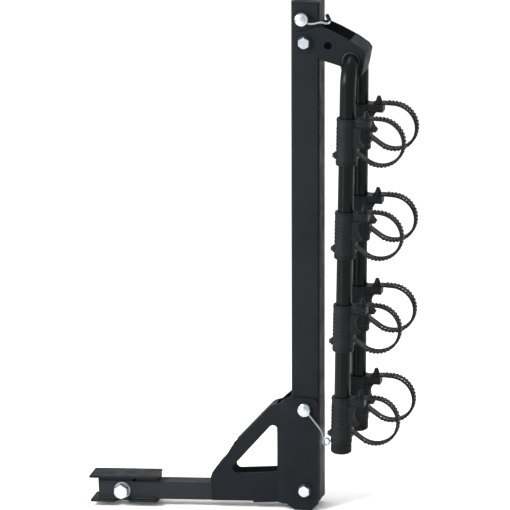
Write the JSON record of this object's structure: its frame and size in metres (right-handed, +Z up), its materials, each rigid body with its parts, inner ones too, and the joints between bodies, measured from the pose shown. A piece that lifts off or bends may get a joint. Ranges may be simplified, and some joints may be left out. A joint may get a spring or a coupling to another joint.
{
  "type": "hitch mounted bike rack",
  "caption": "Hanging hitch-mounted bike rack with a tilting mast, fold-down carry arms, strap cradles, lock pins and a receiver adapter, shown stowed.",
  "frame": {"origin": "axis of the hitch bolt on the centre line of the tongue", "axes": "-X along the tongue into the receiver, +X towards the bikes, +Z up, +Y to the far side of the rack"},
  "size_m": [0.6123, 0.1826, 0.9297],
  "materials": {
    "base_powder": "satin black powder coat, very fine orange peel",
    "mast_powder": "satin charcoal-black powder coat",
    "arm_powder": "semi-gloss black powder coat",
    "bright_zinc": "bright zinc plate",
    "dull_zinc": "clear zinc plate, duller",
    "spring_wire": "zinc-plated spring wire",
    "black_oxide": "black oxide screws and washers",
    "cradle_plastic": "moulded black nylon, fine spark-eroded texture",
    "pad_rubber": "soft black saddle rubber",
    "strap_rubber": "moulded black ladder-strap rubber",
    "cap_rubber": "black vinyl rubber",
    "cap_plastic": "moulded black polyethylene"
  },
  "bodies": {
    "base": {"tongue_tube": "base_powder", "adapter_top_rail": "base_powder", "adapter_bottom_rail": "base_powder", "hitch_bolt": "bright_zinc", "hitch_spring_washer": "dull_zinc", "hitch_flat_washer": "dull_zinc", "hitch_nut": "dull_zinc", "near_gusset_plate": "base_powder", "far_gusset_plate": "base_powder", "gusset_ridge_plate": "base_powder", "clevis_back_plate": "base_powder", "tilt_pivot_bolt": "bright_zinc", "tilt_pivot_nut": "dull_zinc", "tilt_pivot_washers": "black_oxide"},
    "mast": {"mast_tube": "mast_powder", "mast_top_cap": "cap_plastic", "tilt_pivot_sleeve": "dull_zinc", "arm_pivot_sleeve": "dull_zinc", "arm_pivot_bolt": "bright_zinc", "arm_pivot_nut": "dull_zinc", "arm_pivot_washers": "black_oxide"},
    "arms": {"near_bracket_plate": "base_powder", "far_bracket_plate": "base_powder", "bracket_back_plate": "base_powder", "near_arm_tube": "arm_powder", "far_arm_tube": "arm_powder", "near_arm_cap": "cap_rubber", "far_arm_cap": "cap_rubber", "near_cradle_1": "cradle_plastic", "near_cradle_2": "cradle_plastic", "near_cradle_3": "cradle_plastic", "near_cradle_4": "cradle_plastic", "far_cradle_1": "cradle_plastic", "far_cradle_2": "cradle_plastic", "far_cradle_3": "cradle_plastic", "far_cradle_4": "cradle_plastic", "near_cradle_pads": "pad_rubber", "far_cradle_pads": "pad_rubber", "near_cradle_screws": "black_oxide", "far_cradle_screws": "black_oxide", "near_strap_1": "strap_rubber", "near_strap_2": "strap_rubber", "near_strap_3": "strap_rubber", "near_strap_4": "strap_rubber", "far_strap_1": "strap_rubber", "far_strap_2": "strap_rubber", "far_strap_3": "strap_rubber", "far_strap_4": "strap_rubber"},
    "tilt_pin_body": {"tilt_pin": "bright_zinc", "tilt_pin_wire": "spring_wire"},
    "arm_pin_body": {"arm_pin": "bright_zinc", "arm_pin_wire": "spring_wire", "arm_pin_grip": "cap_rubber"}
  },
  "joints": [
    {"name": "mast_tilt", "type": "hinge", "parent": "base", "child": "mast", "pos_m": [0.338, 0, 0.009], "axis": [0, 1, 0], "range_deg": [0, 90]},
    {"name": "arm_fold", "type": "hinge", "parent": "mast", "child": "arms", "pos_m": [0.37806, 0, 0.82802], "axis": [0, -1, 0], "range_deg": [0, 102]},
    {"name": "tilt_pin_pull", "type": "slide", "parent": "base", "child": "tilt_pin_body", "axis": [0, -1, 0], "range_m": [0, 0.08]},
    {"name": "arm_pin_pull", "type": "slide", "parent": "mast", "child": "arm_pin_body", "axis": [0, -1, 0], "range_m": [0, 0.08]}
  ]
}
